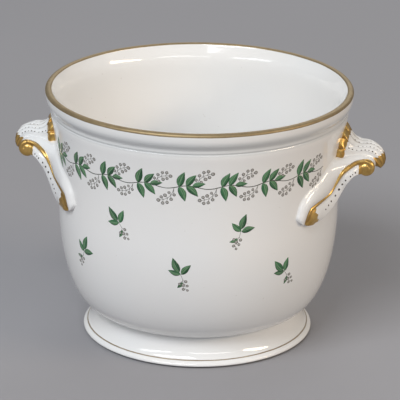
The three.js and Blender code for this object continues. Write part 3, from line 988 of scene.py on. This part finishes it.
# Adds a hair-thin painted stalk through some flat places
def addStalk(vertices, faces, known, places, width, thick):
    flat = [(x, y, 0) for x, y in places]
    steps = 4 * (len(places) - 1)
    rings = []
    for i in range(steps + 1):
        p, way = curvePoint(flat, i / steps), curveWay(flat, i / steps)
        side = Vector((-way.y, way.x, 0)) * (width / 2)
        up = Vector((0, 0, thick))
        rings.append([p - side - up, p + side - up, p + side * 0.6 + up * 0.6, p - side * 0.6 + up * 0.6])
    points, facts, skin = loft(rings, [(1.0,)] * (4 * len(rings)))
    faces += [tuple(i + len(vertices) for i in face) for face in skin]
    vertices += points
    known += facts


def makeBerryMesh(name, berries, stalks):
    vertices, faces, known = [], [], []
    thick = garland["thick"]
    for x, y, radius in berries:
        addBerry(vertices, faces, known, x, y, radius, thick)
    for places in stalks:
        addStalk(vertices, faces, known, places, garland["twig"], thick * 0.6)
    mesh = makeMesh(name, [v * mm for v in vertices], faces, None)
    writeFacts(mesh, ("edge",), known)
    faceOutwards(mesh)
    return mesh


# Spray of berries beside the stem: an arching stalk with berries along it
def makeSprayMotif():
    flat = [(x, y, 0) for x, y in spray["stalk"]]
    onStalk = [curvePoint(flat, i / 12) for i in range(13)]
    twigs = []
    for x, y, radius in spray["berries"]:
        start = min(onStalk, key=lambda p: abs(p.x - x + 0.9) + 0.4 * abs(p.y - y))
        twigs.append([(start.x, start.y), ((start.x + x) / 2 + 0.2, (start.y + y) / 2), (x, y)])
    return makeBerryMesh("sprayMotif", spray["berries"], [spray["stalk"], *twigs])


def makeClusterMotif():
    twigs = []
    for x, y, radius in sprigs["berries"]:
        twigs.append([(0.5, min(2.0, y + 1.8)), ((x + 0.4) / 2, y + 1.2), (x, y)])
    return makeBerryMesh("clusterMotif", sprigs["berries"], [sprigs["stalk"], *twigs])


# Vertices alone, with a turn and a size for each: the layout that a pattern's tree fills
def makeSpots(name, rows, names=("turn", "size")):
    mesh = bpy.data.meshes.new(name)
    mesh.from_pydata([(x * mm, y * mm, 0) for x, y, turn, size in rows], [], [])
    writeFacts(mesh, names, [(math.radians(turn), size) for x, y, turn, size in rows])
    return addObject(name, mesh)


# Moves flat geometry onto the wall, round from the angle that the tree is given
def wrapped(tree, geometry):
    x, y, z = tree.position()
    height = y / mm
    fall = ((bowl["bellyMid"] - height) / bowl["bellyDrop"]).atLeast(0.0).atMost(1.0)
    rise = ((height - bowl["bellyMid"]) / (bowl["neckTop"] - bowl["bellyMid"])).atLeast(0.0)
    belly = bowl["bellySwell"] * (1 - fall ** bowl["bellyPower"]) ** (1 / bowl["bellyPower"])
    radius = (belly + bowl["bellyBase"] + bowl["neckFlare"] * rise ** bowl["neckPower"]) * mm + z
    angle = x / tree.named("Radius") + tree.named("Around")
    return tree.moved(geometry, radius * angle.join("COSINE"), radius * angle.join("SINE"), y)


# Fills every place with the layout, every spot of the layout with the motif, and wraps the lot round the wall
def makePatternTree():
    tree = Grower("wallPattern", ("Radius", "Around", "Wobble"), Places="Object", Motif="Object", Seed="Int")
    placeTurn, seed, most = tree.attribute("placeTurn"), tree.named("Seed"), tree.named("Wobble")
    groups = tree.spread(tree.shape("Places"), tree.given, tree.spin(placeTurn), tree.attribute("placeSize"))
    wobble = tree.between(most * -1, most, seed)
    turn = tree.attribute("turn") + placeTurn + wobble
    size = tree.attribute("size") * (1 + wobble * 0.3)
    drawn = tree.spread(tree.real(groups), tree.shape("Motif"), tree.spin(turn), size)
    settings = {"data_type": "FLOAT", "domain": "INSTANCE"}
    inputs = {"Geometry": drawn, "Name": "tone", "Value": tree.between(0.0, 1.0, seed + 1)}
    toned = tree.node("GeometryNodeStoreNamedAttribute", settings, inputs)
    tree.close(wrapped(tree, tree.real(toned)))
    return tree


# Waving line round the wall, a little uneven as a brush leaves it
def makeStemTree():
    numbers = ("Length", "Pitch", "Wave", "Width", "Height", "Radius", "Around")
    tree = Grower("garlandStem", numbers, Seed="Int")
    half, height = tree.named("Length") / 2, tree.named("Height")
    ends = {"Start": tree.joined(half * -1, height, 0.0), "End": tree.joined(half, height, 0.0)}
    line = tree.node("GeometryNodeCurvePrimitiveLine", None, ends)
    fine = tree.node("GeometryNodeResampleCurve", None, {"Curve": line, "Count": garland["lineSteps"]})
    x, y, z = tree.position()
    waving = (x * (2 * math.pi) / tree.named("Pitch")).join("SINE") * tree.named("Wave")
    waved = tree.moved(fine, x, y + waving, z)
    inputs = {"Vector": tree.node("GeometryNodeInputPosition"), "W": tree.named("Seed") * 3.7, "Scale": 160.0}
    brush = tree.node("ShaderNodeTexNoise", {"noise_dimensions": "4D"}, inputs)
    uneven = tree.node("GeometryNodeSetCurveRadius", None, {"Curve": waved, "Radius": 0.55 + brush * 0.9})
    inputs = {"Resolution": garland["lineSides"], "Radius": tree.named("Width") / 2}
    section = tree.node("GeometryNodeCurvePrimitiveCircle", None, inputs)
    tube = tree.node("GeometryNodeCurveToMesh", None, {
        "Curve": uneven, "Profile Curve": section, "Scale": tree.node("GeometryNodeInputRadius"),
        "Fill Caps": True})
    tree.close(wrapped(tree, tree.moved(tube, x, y, z * 0.6)))
    return tree


# Dots on the handles: strap t, share of the face, size; lobe of the leaf and the t where its row starts
handleDots = {
    "radius": 0.62, "rise": 0.35, "segments": 10, "rings": 6,
    "strap": [(0.185, 0.72, 0.95), (0.232, 0.74, 0.7), (0.27, 0.74, 0.95), (0.35, 0.64, 1.0),
              (0.41, 0.57, 1.15), (0.475, 0.53, 1.45), (0.545, 0.50, 1.2), (0.62, 0.50, 1.1),
              (0.67, 0.55, 1.0), (0.72, 0.62, 0.95), (0.78, 0.68, 0.9), (0.83, 0.74, 0.7)],
    "leafLobes": [(-2, 0.22), (2, 0.22), (0, 0.27), (-1, 0.34), (1, 0.34)],
    "leafStep": 0.062, "leafEnd": 0.70, "leafSizes": (0.95, 0.95, 0.65), "besideMiddle": 0.75,
}


# Small raised dots, one on each spot, standing along the spot's own way out
def makeDotTree():
    tree = Grower("enamelDots", ("Dot Radius", "Dot Rise"))
    ball = tree.node("GeometryNodeMeshUVSphere", None, {
        "Segments": handleDots["segments"], "Rings": handleDots["rings"], "Radius": tree.named("Dot Radius")})
    lower = tree.joined(1.0, 1.0, tree.named("Dot Rise"))
    flat = tree.node("GeometryNodeTransform", None, {"Geometry": ball, "Scale": lower})
    out = tree.attribute("wayOut", "FLOAT_VECTOR")
    way = tree.node("FunctionNodeAlignRotationToVector", {"axis": "Z"}, {"Vector": out})
    tree.close(tree.spread(tree.given, flat, way, tree.attribute("size")))
    return tree


def strapDots():
    rows = []
    for t, share, size in handleDots["strap"]:
        r, h = curvePoint(strap["ridge"], t), curvePoint(strap["hem"], t)
        out = (h - r).cross(curveWay(strap["ridge"], t)).normalized()
        lift = strap["faceBulge"][0] * 4 * share * (1 - share) * (h - r).length
        rows.append((r.lerp(h, share) + out * lift, out, size))
    return rows


def leafDots():
    rows = []
    for lobe, t in handleDots["leafLobes"]:
        index = 0
        while t < handleDots["leafEnd"]:
            point, out, off = leafTop(t, 2 * lobe / leaf["lobes"])
            size = handleDots["leafSizes"][index % 3]
            rows.append((point, out, size * (handleDots["besideMiddle"] if abs(lobe) == 1 else 1)))
            t += handleDots["leafStep"]
            index += 1
    return rows


def makeDots(name, rows, left, mirror, tree, finish):
    way = handleWay(left, mirror)
    mesh = bpy.data.meshes.new(name)
    mesh.from_pydata([tuple(way @ (point * mm)) for point, out, size in rows], [], [])
    writeFacts(mesh, ("size",), [(size,) for point, out, size in rows])
    layer = mesh.attributes.new("wayOut", "FLOAT_VECTOR", "POINT")
    layer.data.foreach_set("vector", [c for point, out, size in rows for c in way @ out])
    values = {"Dot Radius": handleDots["radius"] * mm, "Dot Rise": handleDots["rise"], "Finish": finish}
    return tree.grow(addObject(name, mesh), values)


# The wall's two sides: name, the angle of its middle, seed
wallSides = (("front", -math.pi / 2, 3), ("rear", math.pi / 2, 8))


# Everything painted on one side of the wall
def paintSide(name, around, seed, kit):
    common = {"Around": around, "Seed": seed}
    made = []
    for kind, where, radius, motif, finish in (
            ("garland_leaves", "garland", garland["radius"], "leaf", "leaf"),
            ("garland_berries", "garland", garland["radius"], "spray", "berry"),
            ("sprig_leaves", "sprigs", sprigs["radius"], "leaf", "leaf"),
            ("sprig_berries", "sprigs", sprigs["radius"], "cluster", "berry")):
        piece = addObject(f"{name}_{kind}", kit["spots"][kind].data.copy())
        made.append(kit["pattern"].grow(piece, common | {
            "Places": kit["places"][where], "Motif": kit["motifs"][motif], "Radius": radius * mm,
            "Wobble": 0.0 if motif == "cluster" else garland["wobble"], "Finish": kit["finishes"][finish]}))
    piece = addObject(f"{name}_garland_stem", bpy.data.meshes.new(f"{name}_garland_stem"))
    labels = {"Pitch": "pitch", "Wave": "wave", "Width": "line", "Height": "height", "Radius": "radius"}
    sizes = {label: garland[key] * mm for label, key in labels.items()}
    sizes["Length"] = garland["pitch"] * garland["repeats"] * mm
    made.append(kit["stem"].grow(piece, common | sizes | {"Finish": kit["finishes"]["stem"]}))
    return made


# Spots of one repeat, moved onto the waving stem
def onStem(rows):
    wave, pitch = garland["wave"], garland["pitch"]
    return [(x, wave * math.sin(2 * math.pi * x / pitch), turn, size) for x, turn, size in rows]


# The finishes, trees, layouts and motifs that both sides are painted with
def makeKit():
    finishes = {"leaf": makeLeafEnamel(), "berry": makeBerryEnamel()}
    for name in ("stem", "dot"):
        finishes[name] = makePlainEnamel(f"{name}Enamel", enamel[name])
    layouts = {"garland_leaves": onStem(garland["leaves"]), "garland_berries": onStem(garland["sprays"]),
               "sprig_leaves": sprigs["leaves"], "sprig_berries": [(0, 0, 0, 1)]}
    motifs = {"leaf": makeLeafMotif(), "spray": makeSprayMotif(), "cluster": makeClusterMotif()}
    pitch, repeats = garland["pitch"], garland["repeats"]
    row = [(-pitch * repeats / 2 + pitch * i, garland["height"], 0, 1) for i in range(repeats)]
    named = ("placeTurn", "placeSize")
    return {
        "finishes": finishes, "pattern": makePatternTree(), "stem": makeStemTree(),
        "spots": {kind: makeSpots(kind, rows) for kind, rows in layouts.items()},
        "motifs": {name: addObject(name, mesh) for name, mesh in motifs.items()},
        "places": {"garland": makeSpots("garlandPlaces", row, named),
                   "sprigs": makeSpots("sprigPlaces", sprigs["places"], named)},
    }


def makePaintedPieces():
    kit = makeKit()
    made = []
    for name, around, seed in wallSides:
        made += paintSide(name, around, seed, kit)
    print("wall painted")
    tree, finish = makeDotTree(), kit["finishes"]["dot"]
    for hand, left, straps in hands:
        made.append(makeDots(f"{hand}_leaf_dots", leafDots(), left, False, tree, finish))
        for where, mirror in straps:
            made.append(makeDots(f"{hand}_{where}_strap_dots", strapDots(), left, mirror, tree, finish))
    for helpers in ("spots", "motifs", "places"):
        for helper in kit[helpers].values():
            bpy.data.objects.remove(helper)
    print("handles dotted")
    return made


paintedPieces = makePaintedPieces()

handlePieces = []
for hand, left, straps in hands:
    made = placed(f"{hand}_leaf", leafMesh, left, False)
    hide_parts(f"{hand}_handle_leaf")
    handlePieces.append(made)
    for where, mirror in straps:
        made = placed(f"{hand}_strap_{where}", strapMesh, left, mirror)
        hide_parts(f"{hand}_handle_{where}_scroll")
        handlePieces.append(made)
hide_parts("bowl")
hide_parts("foot_ring")
glazed = [bowlBody, footBody, *handlePieces]
for pieces, slot in ((glazed, "glazed_porcelain"), (paintedPieces, "painted_enamel")):
    for piece in pieces:
        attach(piece, "root")
print("pieces put in place of the solids")


# Floor, lamps and world
studio = {
    "floor": (0.314, 0.311, 0.329), "drift": 0.97, "floorRadius": 9.0, "floorSides": 48, "aim": (0, 0, 0.11),
    "world": (0.86, 0.88, 0.90), "worldStrength": 0.34,
    # name, degrees right of the camera, elevation, distance, width, height, watts, colour
    "lamps": [
        ("softBox", -29, 46, 3.0, 1.9, 1.05, 58.0, (0.97, 0.985, 1.0)),
        ("leftWindow", -45, 25, 3.0, 1.7, 0.18, 9.0, (0.92, 0.96, 1.0)),
        ("frontWindow", 14, 26, 3.2, 2.4, 0.16, 7.0, (1.0, 0.99, 0.98)),
        ("rightWindow", 66, 22, 3.0, 1.5, 0.22, 29.0, (1.0, 0.79, 0.56)),
        ("backLight", 170, 36, 2.1, 1.6, 0.9, 8.0, (0.98, 0.99, 1.0)),
    ],
}


def makeFloor():
    radius, sides = studio["floorRadius"], studio["floorSides"]
    angles = [2 * math.pi * i / sides for i in range(sides)]
    corners = [(radius * math.cos(a), radius * math.sin(a), 0) for a in angles]
    paint = Paint("floorPaper")
    drift = paint.mottle(2.5, 2.0).above(0.5, 0.3)
    tone = paint.mix(drift, studio["floor"], tuple(studio["drift"] * c for c in studio["floor"]))
    grain = paint.bump(paint.mottle(700.0, 2.0), 0.15, 0.0002)
    finish = paint.finish({"Base Color": tone, "Roughness": 0.8, "Normal": grain})
    addObject("floor", makeMesh("floor", corners, [list(range(sides))], finish))


def makeLamp(name, bearing, elevation, distance, width, height, watts, colour):
    data = bpy.data.lights.new(name, "AREA")
    data.shape = "RECTANGLE"
    data.size = width
    data.size_y = height
    data.energy = watts
    data.color = colour
    lamp = addObject(name, data)
    rise = math.radians(elevation)
    target = Vector(studio["aim"])
    lamp.location = target + (towards(bearing) * math.cos(rise) + Vector((0, 0, math.sin(rise)))) * distance
    lamp.rotation_euler = (lamp.location - target).to_track_quat("Z", "Y").to_euler()


def makeWorld():
    world = bpy.data.worlds.new("studio")
    bpy.context.scene.world = world
    world.use_nodes = True
    back = world.node_tree.nodes["Background"]
    back.inputs["Color"].default_value = (*studio["world"], 1)
    back.inputs["Strength"].default_value = studio["worldStrength"]


makeFloor()
for lamp in studio["lamps"]:
    makeLamp(*lamp)
makeWorld()
bpy.context.scene.view_settings.view_transform = "Standard"
print("studio lit")

bpy.context.view_layer.update()
